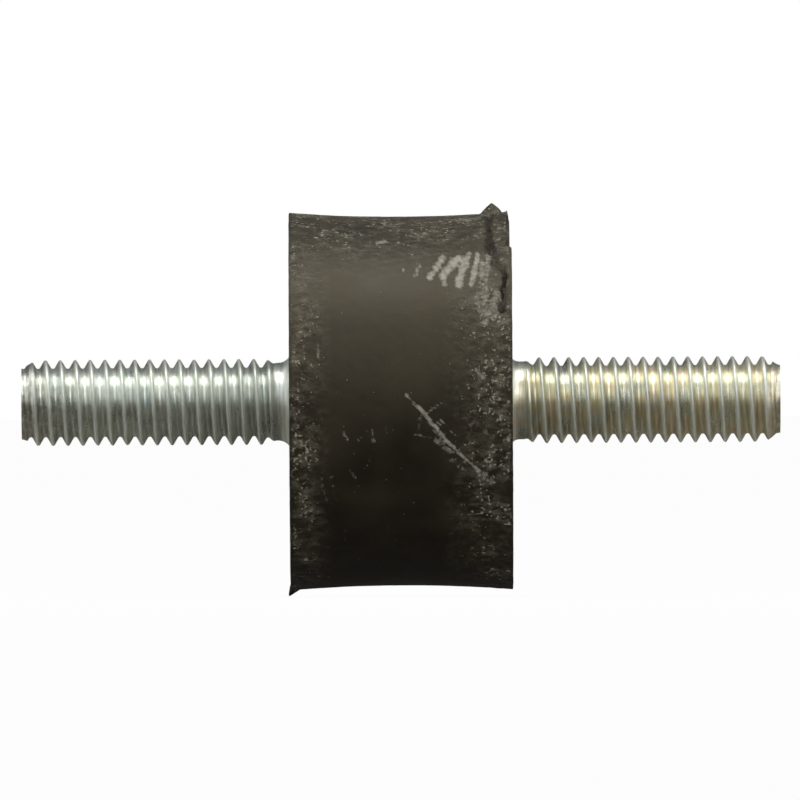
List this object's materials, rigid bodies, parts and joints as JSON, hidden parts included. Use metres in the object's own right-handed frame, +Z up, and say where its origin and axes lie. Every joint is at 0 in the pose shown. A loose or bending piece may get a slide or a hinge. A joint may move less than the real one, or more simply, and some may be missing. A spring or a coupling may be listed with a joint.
{
  "type": "bobbin vibration mount",
  "caption": "Rubber bobbin bonded between two steel end plates, each with a threaded stud, to bolt a machine to its base and damp its vibration.",
  "frame": {"origin": "middle of the rubber body on the stud axis", "axes": "+X along the stud axis towards the right stud, +Z up towards the fin of flash on the lip"},
  "size_m": [0.051, 0.0254, 0.0264],
  "materials": {
    "rubber": "moulded black natural rubber, dull, scuffed",
    "plate_steel": "stamped mild steel with thin zinc plating",
    "plated_steel": "rolled steel, zinc plated with a clear to yellow passivation"
  },
  "bodies": {
    "root": {"rubber_body": "rubber", "left_end_plate": "plate_steel", "right_end_plate": "plate_steel", "left_stud": "plated_steel", "right_stud": "plated_steel"}
  },
  "joints": []
}
